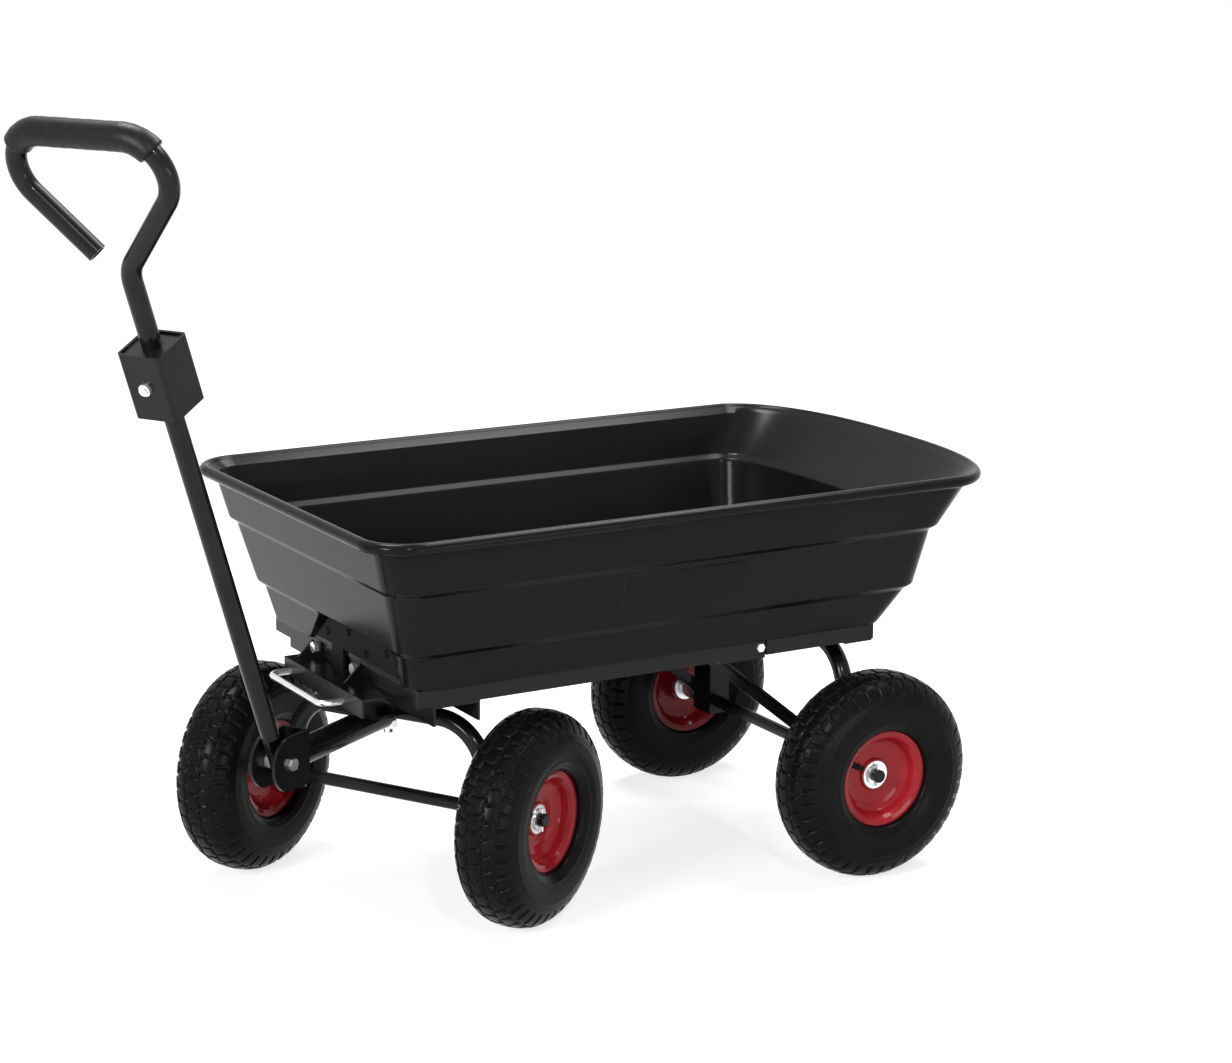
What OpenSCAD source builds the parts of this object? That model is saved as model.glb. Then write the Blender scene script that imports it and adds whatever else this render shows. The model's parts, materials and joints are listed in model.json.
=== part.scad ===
// Tipping dump cart: a moulded tray on a four-wheeled steel frame, with a
// swivelling front axle, a pull handle and a sprung tray release.
// Millimetres. +X is the dumping end, +Z is up, and the handle is at -X.
// The cart stands with its front axle and handle turned to the near (-Y) side.

/* [Wheels] */
// Outside diameter of the tyres
wheel_d = 260; // [230:5:300]
// Width of the tyres
tyre_w = 82; // [70:1:90]
// Thickness of the tyre wall
tyre_wall = 6; // [4:0.5:8]
// Diameter of the rim's flanges
rim_flange_d = 120; // [112:1:124]
// Distance between the rim's two flange faces
rim_w = 57; // [50:1:60]
// Sheet thickness of the pressed rim
rim_sheet = 2.5; // [2:0.1:3]
// Outside diameter of the wheel bearings
bearing_d = 35; // [32:1:40]
// Width of each bearing
bearing_w = 9; // [7:1:12]
// Diameter of the axle rods
axle_d = 16; // [12:1:18]
// Distance between the middles of the rear tyres
rear_track = 450; // [440:2:500]
// Distance between the middles of the front tyres
front_track = 397; // [380:1:440]
// Distance from the rear axle to the kingpin
wheelbase = 551; // [520:1:680]

/* [Frame] */
// Height of the side rails' tops above the tyres' tops
deck_clear = 52; // [50:1:90]
// Half the distance across the rails' outer faces
rail_half = 195; // [180:1:200]
// Leg length of the angle iron
angle_leg = 20; // [18:1:24]
// Thickness of the angle iron and the frame plates
plate_t = 3; // [2:0.5:4]
// Front face of the front cross angle, ahead of the kingpin
deck_front = 58; // [52:1:70]
// Distance from the rear axle to the rear end of the rails
rail_rear = 140; // [120:1:170]
// Diameter of the frame tubes
tube_d = 22; // [20:1:25]
// Wall of the frame tubes
tube_wall = 2; // [1.5:0.25:3]
// Half the distance between the rear arch's legs
rear_arch_half = 165; // [150:1:168]
// Bend radius of the rear arch
rear_arch_r = 60; // [40:1:70]
// Width of the cross channel that holds the kingpin
king_channel_w = 60; // [50:1:64]
// Height of the cross channel
king_channel_h = 24; // [20:1:26]
// Diameter of the kingpin
kingpin_d = 12; // [10:1:16]
// Width of the rear braces
brace_w = 15; // [12:1:24]

/* [Front axle] */
// Angle by which the front axle is turned to the near side
steer = 30.3; // [0:0.1:45]
// Half the distance between the front arch's legs
front_arch_half = 135; // [120:1:145]
// Bend radius of the front arch
front_arch_r = 62; // [40:1:70]
// Length of the king sleeve under the cross channel
sleeve_len = 37; // [34:1:50]
// Distance from the kingpin to the handle's pivot
clevis_reach = 226; // [200:1:280]
// Diameter of the neck tube
neck_d = 32; // [24:1:34]
// Gap between the clevis plates
clevis_gap = 28; // [26:1:36]
// Radius of the clevis plates' round front end
clevis_r = 32; // [24:1:34]

/* [Handle] */
// Lean of the handle ahead of the vertical
lean = 22.3; // [5:0.1:60]
// Distance along the handle from its pivot to the hitch box
hitch_start = 474; // [400:1:560]
// Length of the hitch box
hitch_len = 78; // [70:1:90]
// Outside width of the hitch box, each way
hitch_w = 54; // [48:1:64]
// Diameter of the hitch pin
hitch_pin_d = 10; // [8:1:12]
// Straight length of the upper tube above its pin
upper_run = 110; // [90:1:150]
// Slope of the loop's two slanting sides
loop_slope = 41.8; // [30:0.1:50]
// Bend radius where the loop leaves the upper tube
loop_root_r = 40; // [30:1:50]
// Bend radius at the loop's two corners
loop_r = 43; // [36:1:50]
// Length of the slanting side that joins the upper tube
loop_side = 95; // [80:1:120]
// Length of the loop's straight top
loop_top = 103; // [90:1:140]
// Length of the slanting side that ends free
loop_free = 88; // [60:1:95]
// Outside diameter of the foam grip
grip_d = 31; // [28:1:36]
// Angle that the grip follows into each corner
grip_wrap = 50; // [20:1:70]

/* [Tray] */
// Height of the rolled rim's middle above the rail tops
tray_depth = 184.5; // [160:0.5:260]
// Half the tray's width at its ledge on the rails
ledge_half = 200.3; // [198:0.1:215]
// Reach of the tray's front ledge ahead of the deck
ledge_nose = 8; // [6:1:20]
// Distance from the rear axle back to the tray's rear ledge
ledge_tail = 55; // [40:1:80]
// Wall thickness of the tray
tray_wall = 4.5; // [3:0.5:6]
// Diameter of the rolled rim
bead_d = 14; // [10:1:18]
// Height of the upper step above the rail tops
step_up = 120; // [100:1:130]
// Height of the lower step above the rail tops
step_low = 42; // [36:1:60]
// Width of each step
step_w = 7; // [4:1:10]
// Depth of the floor below the rail tops
floor_drop = 8; // [4:1:9]
// Radius of the tray's front corners under the rim
tray_corner = 40; // [30:1:60]
// Depth of the shallow panels in the sides
panel_depth = 3; // [0.5:0.5:4]

/* [Release] */
// Half the length of the latch channel
latch_half = 107; // [100:1:130]
// Distance of the latch channel's front face ahead of the deck
latch_reach = 36; // [34:1:44]
// Diameter of the release loop's wire
wire_d = 8; // [5:0.5:9]
// Half the distance between the release loop's arms
pull_half = 72; // [60:1:90]
// Reach of the release loop ahead of the latch channel
pull_reach = 28; // [24:1:40]
// Travel of the release
pull_travel = 8; // [7:0.5:9]

/* [Fits] */
// Radial clearance of turning pins and shafts
run_fit = 0.05; // [0.02:0.01:0.1]
// Gap between curved faces of pieces that are joined
seat = 0.2; // [0.1:0.05:0.3]
// Gap between the faces of pieces that turn against each other
face_gap = 0.3; // [0.2:0.1:0.5]

/* [Hidden] */
$fn = 48;
axle_z = wheel_d / 2;
rail_top = wheel_d + deck_clear;
rim_z = rail_top + tray_depth;
king_x = -wheelbase;
deck_x = king_x - deck_front;
rail_low = rail_top - angle_leg;
rail_in = rail_half - plate_t;
flange_in = rail_half - angle_leg;
strap_low = rail_low - plate_t;
floor_z = rail_top - floor_drop;

// Rear arch: its top tube is the tipping axis, close under the hinge plate
rear_arch_z = strap_low - tube_d / 2 - 2;
hinge_ring_d = tube_d + 7;
hinge_plate_half = 20;
hinge_strap_y = 60;
hinge_strap_w = 30;
strap_w = 65;
// Uprights on the rear axle: angles with one flange to the front and one round the axle
gusset_t = 4;
gusset_x = -13;
gusset_in = rear_arch_half - tube_d / 2 - 36;
gusset_out = gusset_in + 35;
gusset_h = 80;
// Braces, from the cross strap down to a point on the gussets
brace_y = gusset_out - 11;
brace_top_x = -rail_rear - 54;
brace_end_x = gusset_x - gusset_t;
brace_end_z = axle_z + 16;
brace_slope = atan((strap_low - brace_end_z) / (brace_end_x - brace_top_x));

// Kingpin stack, from the cross channel down
channel_x = king_x - 9 - king_channel_w / 2;
sleeve_low = strap_low - sleeve_len;
washer_t = 2.4;
plate_top = sleeve_low - 2 * face_gap - washer_t;
steer_plate_t = 4;
front_arch_z = plate_top - steer_plate_t - seat - tube_d / 2;
clevis_z = plate_top - steer_plate_t - seat - neck_d / 2;
clevis_t = 4;
clevis_back = clevis_reach - clevis_r - 4;
pivot_d = 8;
split_pin_d = 3.2;

// Handle
pin_s = hitch_start + hitch_len / 2;
loop_near = -loop_root_r * (1 - cos(loop_slope)) - loop_side * sin(loop_slope) + loop_r * cos(loop_slope);
loop_rise = (loop_root_r + loop_r) * sin(loop_slope) + loop_side * cos(loop_slope) + loop_r;
handle_top = pin_s + upper_run + loop_rise;
tube_bore = tube_d - 2 * tube_wall;
tongue_t = 8;
// Lap of a straight run over a bend's end, and the bend's loss of diameter
lap = 0.3;
thinning = 0.1;
tongue_end = 36;

// Latch
catch_t = 4;
pocket_x = deck_x - catch_t;
latch_x = deck_x - latch_reach;
latch_top = rail_low - plate_t;
pull_z = latch_top - 14;
latch_lip = 22;
latch_mid = -16;
bar_t = 8;
bar_x = latch_x + plate_t + pull_travel + 2;
bracket_mid = 16;
bracket_y = 54;
bracket_w = 24;
bracket_bolt_z = rail_top - 11;
rail_bolt_z = rail_low + 11;
rail_bolt_x = -rail_rear - 8;

// Tray bands, from the ledge on the rails up to the rolled rim
step_rise = 6;
step_low_z = rail_top + step_low;
step_up_z = rail_top + step_up;
band_low = step_low;
band_mid = step_up - step_low - step_rise;
band_top_z = rim_z - bead_d / 2;
band_top = band_top_z - step_up_z - step_rise;
// Outward lean of the bands per millimetre of height: sides, front and rear
draft = 0.26;
draft_top = 0.37;
front_lean = 0.49;
scoop_low = 0.95;
scoop_mid = 0.2;
scoop_top = 1.3;
ledge_front = deck_x - ledge_nose;
ledge_rear = ledge_tail;
tray_half = ledge_half + draft_top * band_top + draft * (band_mid + band_low) + 2 * step_w;
tray_rear = ledge_rear + scoop_top * band_top + scoop_mid * band_mid + scoop_low * band_low + 2 * step_w;
// Length of the rear curve at the ledge, at the steps and at the rim
bow_low = 28;
bow_mid = 34;
bow_top = 90;
// The sunken floor between the rails
well_half = flange_in - 3;
well_front = deck_x + plate_t + angle_leg + 2;
well_rear = ledge_rear - 36;
well_corner = 24;
// Share of the roll that is left at the rear lip
lip_share = 0.35;
// The latch pocket in the front wall ends under the lower step
pocket_top = step_low_z;
pocket_mouth = step_low + step_rise;
panel_top = step_up_z - 8;
panel_low = panel_top - 40;
panel_len = 163;
panel_mid = king_x / 2 - 3;
panel_edge = 3;
panel_x = [panel_mid - panel_len / 2, panel_mid - panel_len / 2 + panel_edge,
           panel_mid + panel_len / 2 - panel_edge, panel_mid + panel_len / 2];
// Stations across the pocket's front, and how far its far end slants in towards the top
pocket_y = [78, 74, -60, -164, -168];
pocket_slant = 57;

// Plan middle of the cart's overall box, which is the origin on the floor
grip_ahead = clevis_reach + handle_top * sin(lean) + grip_d / 2 * cos(lean);
grip_near = loop_near - loop_r * sin(grip_wrap);
grip_far = loop_near + loop_top + loop_r * sin(grip_wrap);
origin_x = (tray_rear + 3 + king_x - grip_ahead * cos(steer) - grip_far * sin(steer)) / 2;
origin_y = (tray_half + 3 + bead_d / 2 - grip_ahead * sin(steer) + grip_near * cos(steer)) / 2;

steel_black = "#1a1b1d";
tray_black = "#232427";
rubber_black = "#1c1c1d";
rim_red = "#b01f28";
zinc = "#c3c7cb";
foam_black = "#29292b";

// Puts the origin on the floor, under the middle of the cart's box
module place() translate([-origin_x, -origin_y, 0]) children();

// The turned front axle's own frame: kingpin at the origin, forward is -X
module steered() place() translate([king_x, 0, 0]) rotate([0, 0, steer]) children();

// The handle's own frame: pivot at the origin, up the handle is +Z, the far side is +Y
module on_handle() steered() translate([-clevis_reach, 0, clevis_z]) rotate([0, -lean, 0]) children();

// A wheel's own frame: middle of the tyre at the origin, outboard is +Z
module at_rear(side) place()
    translate([0, side * rear_track / 2, axle_z]) rotate([-side * 90, 0, 0]) children();

module at_front(side) steered()
    translate([0, side * front_track / 2, axle_z]) rotate([-side * 90, 0, 0]) children();

module both_sides() {
    children();
    mirror([0, 1, 0]) children();
}

// A box from its lowest to its highest corner
module slab(low, high) translate(low) cube(high - low);

// A rod or a hole along Y, its middle on the XZ plane
module across(x, z, d, l) translate([x, 0, z]) rotate([90, 0, 0]) cylinder(d = d, h = l, center = true);

// A plate in the XZ plane, from y to y + t
module side_plate(y, t) translate([0, y + t, 0]) rotate([90, 0, 0]) linear_extrude(t) children();

module ring(d, bore) difference() {
    circle(d = d);
    if (bore > 0) circle(d = bore);
}

module collar(d, bore, h) linear_extrude(h) ring(d, bore);

// A straight run of tube along +Z that laps into its neighbours, with what follows it as children
module run(l, d, bore) {
    translate([0, 0, -lap]) linear_extrude(l + 2 * lap) ring(d, bore);
    translate([0, 0, l]) children();
}

// A tube bend from +Z towards +X, drawn a little thinner by the bending, with what follows it as children
module bend(r, angle, d, bore) {
    translate([r, 0, 0]) rotate([90, 0, 180]) rotate_extrude(angle = angle) translate([r, 0])
        ring(d - thinning, bore > 0 ? bore + thinning : 0);
    translate([r * (1 - cos(angle)), 0, r * sin(angle)]) rotate([0, angle, 0]) children();
}

// A square arch of bent tube in the YZ plane, with its feet drilled for an axle
module arch(half, top, r) difference() {
    foot = axle_z - axle_d;
    translate([0, -half, foot]) rotate([0, 0, 90])
        run(top - r - foot, tube_d, tube_bore)
            bend(r, 90, tube_d, tube_bore)
                run(2 * (half - r), tube_d, tube_bore)
                    bend(r, 90, tube_d, tube_bore)
                        run(top - r - foot, tube_d, tube_bore);
    across(0, axle_z, axle_d + 2 * seat, 2 * half + 2 * tube_d);
}

// Where the split pin stands outboard of a wheel's middle, and the axle's end
hub_out = 11;
hub_in = 20;
pin_out = hub_out + face_gap + 2 + split_pin_d / 2 + 1;
axle_out = pin_out + 6;

// An axle rod along Y with chamfered ends and a split-pin hole near each end
module axle_rod(track) translate([0, 0, axle_z]) difference() {
    half = track / 2 + axle_out;
    chamfer = 1.5;
    union() {
        rotate([90, 0, 0]) cylinder(d = axle_d, h = 2 * (half - chamfer), center = true);
        both_sides() translate([0, half - chamfer, 0]) rotate([-90, 0, 0])
            cylinder(d1 = axle_d, d2 = axle_d - 2 * chamfer, h = chamfer);
    }
    both_sides() translate([0, track / 2 + pin_out, 0])
        cylinder(d = split_pin_d + 2 * seat, h = 2 * axle_d, center = true);
}

// Spacers, washers and split pins that hold the wheels on an axle
module axle_fittings(track, arch_half) translate([0, 0, axle_z]) both_sides() {
    inner = arch_half + tube_d / 2 + seat;
    translate([0, inner, 0]) rotate([-90, 0, 0])
        collar(axle_d + 8, axle_d + 2 * seat, track / 2 - hub_in - face_gap - inner);
    translate([0, track / 2 + hub_out + face_gap, 0]) rotate([-90, 0, 0])
        collar(axle_d + 9, axle_d + 2 * seat, 2);
    translate([0, track / 2 + pin_out, 0]) cylinder(d = split_pin_d, h = axle_d + 12, center = true);
}

// A hexagon-headed bolt along -Z, its head standing on the XY plane, with an optional nut
module hex_bolt(d, grip, nut = true) {
    cylinder(d = 1.85 * d, h = 0.65 * d, $fn = 6);
    translate([0, 0, -grip - (nut ? d : 0)]) cylinder(d = d, h = grip + (nut ? d : 0));
    if (nut) translate([0, 0, -grip - 0.8 * d]) cylinder(d = 1.85 * d, h = 0.8 * d, $fn = 6);
}

// Tray: one moulded shell, lofted through rings from the floor up the outside,
// over the rolled rim and down the inside

// A ring: height, half width, front, rear apex, rear bow, corner radius, whether it runs through
// the latch pocket, share of the panels' depth, offsets round the roll, and depth below the skin
function level(z, half, front, rear, bow, corner, pocket, panel, out, up, skin) =
    [z, half, front, rear, bow, corner, pocket, panel, out, up, skin];

function clip(v, top) = min(max(v, 0), top);

function wall_at(z, pocket = 0, panel = 0) =
    let (low = clip(z - rail_top, band_low),
         mid = clip(z - step_low_z - step_rise, band_mid),
         top = clip(z - step_up_z - step_rise, band_top),
         steps = step_w * (clip((z - step_low_z) / step_rise, 1) + clip((z - step_up_z) / step_rise, 1)),
         bow = bow_low + (bow_mid - bow_low) * low / band_low + (bow_top - bow_mid) * top / band_top)
    level(z, ledge_half + draft * (low + mid) + draft_top * top + steps,
          ledge_front - draft * (low + mid) - front_lean * top - steps,
          ledge_rear + scoop_low * low + scoop_mid * mid + scoop_top * top + steps,
          bow, tray_corner - 8 + 8 * (z - rail_top) / (band_top_z - rail_top), pocket, panel, 0, 0, 0);

// The same ring on the inside of the wall
function inside(s) = level(s[0] + 0.8 * tray_wall, s[1] - tray_wall, s[2] + tray_wall, s[3] - 1.2 * tray_wall,
                           s[4], s[5] - tray_wall, s[6], s[7], 0, 0, tray_wall);

// A ring on the rolled rim, at an angle round the roll
function roll_at(a) =
    let (s = wall_at(band_top_z), r = bead_d / 2)
    level(rim_z, s[1], s[2], s[3], s[4], s[5], 0, 0, 3 + r * cos(a), r * sin(a), 0);

// A ring of the sunken floor
function well_at(z, inset) =
    level(z, well_half - inset, well_front + inset, well_rear - inset, bow_low, well_corner - inset,
          0, 0, 0, 0, 0);

outer_levels = [
    well_at(floor_z, 3), well_at(floor_z + 3, 0), well_at(rail_top, 0),
    wall_at(rail_top, 1), wall_at(pocket_top, 1), wall_at(step_low_z + step_rise),
    wall_at(panel_low), wall_at(panel_top, 0, 1), wall_at(panel_top + 1.5),
    wall_at(step_up_z), wall_at(step_up_z + step_rise), wall_at(band_top_z)
];
roll_levels = [for (a = [-125 : 35 : 155]) roll_at(a)];
inner_levels = [for (k = [len(outer_levels) - 1 : -1 : 3]) inside(outer_levels[k])];
inner_well = [well_at(rail_top + 0.8 * tray_wall, tray_wall), well_at(floor_z + tray_wall + 3, tray_wall),
              well_at(floor_z + tray_wall, tray_wall + 3)];
levels = concat(outer_levels, roll_levels, inner_levels, inner_well);

// Stations round a ring, counter-clockwise from the near front corner: kind, place, and whether sunk
corner_steps = 6;
rear_steps = 24;
stations = concat(
    [for (k = [0 : corner_steps]) ["near_corner", 180 + 90 * k / corner_steps, 0]],
    [for (k = [0 : 3]) ["near_side", panel_x[k], k == 1 || k == 2 ? 1 : 0]],
    [for (k = [0 : rear_steps]) ["rear", -90 + 180 * k / rear_steps, 0]],
    [for (k = [3 : -1 : 0]) ["far_side", panel_x[k], k == 1 || k == 2 ? 1 : 0]],
    [for (k = [0 : corner_steps]) ["far_corner", 90 + 90 * k / corner_steps, 0]],
    [for (k = [0 : 4]) ["front", pocket_y[k], k > 0 && k < 4 ? 1 : 0]]
);

// The roll is full at the front and sides and thins to a lip round the rear
function roll_share(st) = st[0] == "rear" ? 1 - (1 - lip_share) * pow(max(cos(st[1]), 0), 0.6) : 1;

// The pocket's far end leans inwards with height
function slant_at(z, y) = y > 0 ? pocket_slant * clip((z - rail_top) / pocket_mouth, 1) : 0;

function station_point(s, st) =
    let (share = roll_share(st), o = s[8] * share, half = s[1] + o, front = s[2] - o, r = s[5] + o,
         start = s[3] - s[4], reach = s[4] + o, z = s[0] + s[9] * share, sunk = s[7] * st[2] * panel_depth)
    st[0] == "near_corner" ? [front + r + r * cos(st[1]), -half + r + r * sin(st[1]), z] :
    st[0] == "far_corner" ? [front + r + r * cos(st[1]), half - r + r * sin(st[1]), z] :
    st[0] == "near_side" ? [st[1], -half + sunk, z] :
    st[0] == "far_side" ? [st[1], half - sunk, z] :
    st[0] == "rear" ? [start + reach * cos(st[1]), half * sign(st[1]) * pow(abs(sin(st[1])), 0.8), z] :
    [s[6] * st[2] > 0 ? max(front, pocket_x + s[10]) : front, st[1] - slant_at(s[0], st[1]), z];

module tray_shell() color(tray_black) place() {
    n = len(stations);
    m = len(levels);
    middle = (well_front + well_rear) / 2;
    points = concat(
        [for (s = levels) each [for (st = stations) station_point(s, st)]],
        [[middle, 0, floor_z], [middle, 0, floor_z + tray_wall]]
    );
    faces = concat(
        [for (j = [0 : m - 2]) each [for (i = [0 : n - 1])
            let (a = j * n + i, b = j * n + (i + 1) % n) each [[a, a + n, b + n], [a, b + n, b]]]],
        [for (i = [0 : n - 1]) [n * m, i, (i + 1) % n]],
        [for (i = [0 : n - 1]) [n * m + 1, (m - 1) * n + (i + 1) % n, (m - 1) * n + i]]
    );
    polyhedron(points, faces, convexity = 6);
}

// Plate under the tray with two straps that turn on the rear arch's top tube
module tray_hinge() color(steel_black) place() difference() {
    union() {
        slab([-hinge_plate_half, -rail_in, strap_low], [hinge_plate_half, rail_in, rail_low]);
        both_sides() translate([0, hinge_strap_y, 0]) across(0, rear_arch_z, hinge_ring_d, hinge_strap_w);
    }
    across(0, rear_arch_z, tube_d + 2 * run_fit, 2 * rail_half);
}

// Angle irons under the tray's ledge, in line with the rails
module hinge_angles() color(steel_black) place() both_sides() difference() {
    front = -rail_rear + 2;
    rear = hinge_plate_half;
    union() {
        slab([front, rail_in, rail_low], [rear, rail_half, rail_top]);
        slab([front, flange_in, rail_top - plate_t], [rear, rail_half, rail_top]);
    }
    translate([rear, 0, rail_low]) rotate([0, 25, 0]) translate([0, 0, -angle_leg])
        cube([angle_leg, 2 * rail_half, 3 * angle_leg]);
}

// Rivets of the catch plate: place across the cart and height above the rail tops
rivet_spots = [[26, 20], [-30, 32], [-77, 17], [-130, 30]];

// Catch plate in the latch pocket, with a tongue that the latch bar locks
module tray_catch() color(steel_black) place() difference() {
    low = rail_top + 8;
    high = pocket_top - 1;
    far = pocket_y[1] - 6;
    near = pocket_y[3] + 6;
    union() {
        translate([pocket_x - catch_t, 0, 0]) rotate([90, 0, 90]) linear_extrude(catch_t)
            polygon([[near, low], [far - slant_at(low, far), low],
                     [far - slant_at(high, far), high], [near, high]]);
        slab([pocket_x - catch_t, -15, pull_z - 8], [pocket_x, 15, low + 10]);
    }
    slab([pocket_x - 2 * catch_t, -9, pull_z - 4.5], [pocket_x + catch_t, 9, pull_z + 4.5]);
}

module tray_rivets() color(zinc) place()
    for (p = rivet_spots) translate([pocket_x - catch_t, p[0], rail_top + p[1]]) rotate([0, -90, 0])
        cylinder(d1 = 10, d2 = 6, h = 2.5);

// Frame
module side_rail() difference() {
    union() {
        slab([deck_x + plate_t, rail_in, rail_low], [-rail_rear, rail_half, rail_top]);
        slab([deck_x + plate_t, flange_in, rail_top - plate_t], [-rail_rear, rail_half, rail_top]);
    }
    across(rail_bolt_x, rail_bolt_z, 6 + 2 * seat, 3 * rail_half);
}

module side_rail_near() color(steel_black) place() mirror([0, 1, 0]) side_rail();

module side_rail_far() color(steel_black) place() side_rail();

// The two brackets of the latch stand off the middle
module at_brackets() translate([0, bracket_mid, 0]) both_sides() children();

module front_cross_angle() color(steel_black) place() difference() {
    union() {
        slab([deck_x, -rail_half, rail_low], [deck_x + plate_t, rail_half, rail_top]);
        slab([deck_x, -flange_in, rail_top - plate_t], [deck_x + angle_leg, flange_in, rail_top]);
    }
    at_brackets() translate([deck_x, bracket_y, bracket_bolt_z]) rotate([0, 90, 0])
        cylinder(d = 8 + 2 * seat, h = 4 * plate_t, center = true);
}

// Strap under the rails, with upturned ends bolted inside them
module rear_cross_strap() color(steel_black) place() difference() {
    union() {
        slab([-rail_rear - strap_w, -rail_half, strap_low], [-rail_rear, rail_half, rail_low]);
        both_sides()
            slab([-rail_rear - 25, rail_in - plate_t, strap_low], [-rail_rear - 1, rail_in, rail_low + 16]);
    }
    across(rail_bolt_x, rail_bolt_z, 6 + 2 * seat, 3 * rail_half);
}

module king_channel() color(steel_black) place() difference() {
    union() {
        slab([channel_x, -rail_half, strap_low], [channel_x + king_channel_w, rail_half, rail_low]);
        for (x = [channel_x, channel_x + king_channel_w - plate_t])
            slab([x, -rail_half, rail_low - king_channel_h], [x + plate_t, rail_half, rail_low]);
    }
    translate([king_x, 0, 0]) cylinder(d = kingpin_d + 2 * run_fit, h = 2 * rail_top);
}

module king_sleeve() color(steel_black) place() translate([king_x, 0, sleeve_low])
    collar(kingpin_d + 20, kingpin_d + 2 * run_fit, sleeve_len);

// Channel ahead of the deck that houses the latch bar
module latch_channel() color(steel_black) place() difference() {
    union() {
        near = latch_mid - latch_half;
        far = latch_mid + latch_half;
        slab([latch_x, near, latch_top - plate_t], [channel_x, far, latch_top]);
        slab([latch_x, near, latch_top - latch_lip], [latch_x + plate_t, far, latch_top]);
    }
    slab([pocket_x - catch_t - 3, -17, latch_top - 2 * plate_t], [pocket_x + 3, 17, latch_top + plate_t]);
    for (y = [-pull_half, pull_half]) translate([latch_x, y, pull_z]) rotate([0, 90, 0])
        cylinder(d = wire_d + 4 * seat, h = 4 * plate_t, center = true);
}

// Brackets that tie the latch channel to the front cross angle
module latch_brackets() color(steel_black) place() at_brackets() difference() {
    union() {
        slab([deck_x - plate_t, bracket_y - bracket_w / 2, latch_top],
             [deck_x, bracket_y + bracket_w / 2, rail_top - 1]);
        side_plate(bracket_y + bracket_w / 2 - plate_t, plate_t)
            polygon([[deck_x, latch_top], [deck_x - angle_leg - plate_t, latch_top], [deck_x, rail_top - 1]]);
    }
    translate([deck_x, bracket_y, bracket_bolt_z]) rotate([0, 90, 0])
        cylinder(d = 8 + 2 * seat, h = 4 * plate_t, center = true);
}

// Bolts through the brackets and through the rear ends of the rails
module frame_bolts() color(zinc) place() {
    at_brackets() translate([deck_x - plate_t, bracket_y, bracket_bolt_z]) rotate([0, -90, 0])
        hex_bolt(8, 2 * plate_t);
    both_sides() translate([rail_bolt_x, rail_half, rail_bolt_z]) rotate([-90, 0, 0])
        hex_bolt(6, 2 * plate_t);
}

module rear_arch() color(steel_black) place() arch(rear_arch_half, rear_arch_z, rear_arch_r);

module rear_axle() color(steel_black) place() axle_rod(rear_track);

// Angle uprights on the rear axle, which the braces are welded to
module rear_gussets() color(steel_black) place() difference() {
    low = axle_z - 14;
    both_sides() {
        slab([gusset_x - gusset_t, gusset_in, low], [gusset_x, gusset_out, low + gusset_h]);
        slab([gusset_x - gusset_t, gusset_in, low], [13, gusset_in + gusset_t, low + gusset_h]);
    }
    across(0, axle_z, axle_d + 2 * seat, 2 * rail_half);
}

// Angle-iron brace from the cross strap down to the rear axle's gusset
module rear_brace() difference() {
    spare = 30;
    length = (brace_end_x - brace_top_x) / cos(brace_slope) + spare;
    translate([brace_top_x, 0, strap_low]) rotate([0, brace_slope, 0]) {
        slab([-spare, brace_y, -brace_w / 2], [length, brace_y + plate_t, brace_w / 2]);
        slab([-spare, brace_y, brace_w / 2 - plate_t], [length, brace_y + brace_w, brace_w / 2]);
    }
    slab([-wheelbase, 0, strap_low], [wheelbase, rail_half, rim_z]);
    slab([brace_end_x, 0, 0], [wheelbase, rail_half, rim_z]);
}

module rear_brace_near() color(steel_black) place() mirror([0, 1, 0]) rear_brace();

module rear_brace_far() color(steel_black) place() rear_brace();

module rear_axle_fittings() color(zinc) place() axle_fittings(rear_track, rear_arch_half);

// Release: a bent wire loop that draws the latch bar out of the catch
module release_loop() color(zinc) place() {
    corner = 12;
    arm = bar_x - lap - (latch_x - pull_reach) - corner;
    translate([bar_x - lap, -pull_half, pull_z]) rotate([-90, 0, 0]) rotate([0, -90, 0])
        run(arm, wire_d, 0)
            bend(corner, 90, wire_d, 0)
                run(2 * (pull_half - corner), wire_d, 0)
                    bend(corner, 90, wire_d, 0)
                        run(arm, wire_d, 0);
}

module latch_bar() color(steel_black) place() {
    slab([bar_x, -pull_half - 6, pull_z - 5], [bar_x + bar_t, pull_half + 6, pull_z + 5]);
    slab([bar_x, -8, pull_z - 3.5], [pocket_x + 2.5, 8, pull_z + 3.5]);
}

// Coil spring between the latch bar and the cross channel
spring_y = 38;
spring_d = 8;
spring_wire = 1.4;
spring_turns = 9;
wire_sides = 8;
function coil_ring(t, from, to) =
    let (a = 360 * spring_turns * t, r = (spring_d - spring_wire) / 2, x = from + (to - from) * t)
    [for (k = [0 : wire_sides - 1]) let (b = 360 * k / wire_sides, q = r + spring_wire / 2 * cos(b))
        [x + spring_wire / 2 * sin(b), q * cos(a), q * sin(a)]];

module latch_spring() color(zinc) place() translate([0, spring_y, pull_z]) {
    per_turn = 12;
    from = bar_x + bar_t + face_gap + spring_wire / 2;
    to = channel_x - face_gap - spring_wire / 2;
    n = per_turn * spring_turns;
    w = wire_sides;
    points = [for (j = [0 : n]) each coil_ring(j / n, from, to)];
    faces = concat(
        [for (j = [0 : n - 1]) each [for (k = [0 : w - 1])
            let (a = w * j + k, b = w * j + (k + 1) % w) each [[a, b, b + w], [a, b + w, a + w]]]],
        [for (k = [1 : w - 2]) [0, k + 1, k]],
        [for (k = [1 : w - 2]) [w * n, w * n + k, w * n + k + 1]]
    );
    polyhedron(points, faces, convexity = 10);
}

// Front axle
module front_arch() color(steel_black) steered() difference() {
    arch(front_arch_half, front_arch_z, front_arch_r);
    cylinder(d = kingpin_d + 2 * seat, h = 2 * rail_top);
}

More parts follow.
